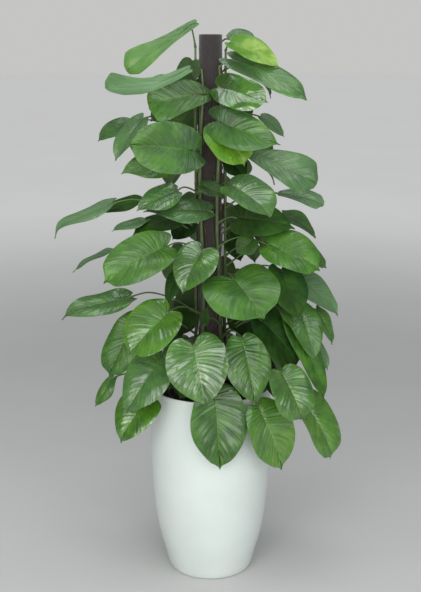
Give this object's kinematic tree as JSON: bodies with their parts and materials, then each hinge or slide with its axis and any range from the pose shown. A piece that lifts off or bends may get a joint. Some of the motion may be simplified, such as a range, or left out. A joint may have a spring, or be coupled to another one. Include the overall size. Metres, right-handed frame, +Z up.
{
  "type": "potted pothos plant",
  "caption": "Pothos climbing a dark fibre-wrapped pole in a tall, smooth, white round planter, with heart-shaped leaves hanging over the rim.",
  "frame": {"origin": "centre of the planter's flat underside", "axes": "+Z up along the pole, -Y towards the front that the picture shows, +X to the right of it"},
  "size_m": [0.7512, 0.4896, 1.4736],
  "materials": {
    "planter": "smooth satin white with a faint cool green tint",
    "potting_soil": "loose, damp, near-black potting mix",
    "stake_wood": "plain round wooden stake",
    "pole_fibre": "dark, tightly wound coir fibre",
    "foliage": "waxy, semi-gloss green leaves with pale veins, lime young leaves and olive-green stems"
  },
  "bodies": {
    "root": {"pot": "planter", "soil": "potting_soil", "pole_stake": "stake_wood", "pole_wrap": "pole_fibre", "vine_left": "foliage", "vine_front_left": "foliage", "vine_front_right": "foliage", "vine_right": "foliage", "vine_back_right": "foliage", "vine_back_left": "foliage", "shoot_left": "foliage", "shoot_front": "foliage", "shoot_right": "foliage", "shoot_back": "foliage"}
  },
  "joints": []
}
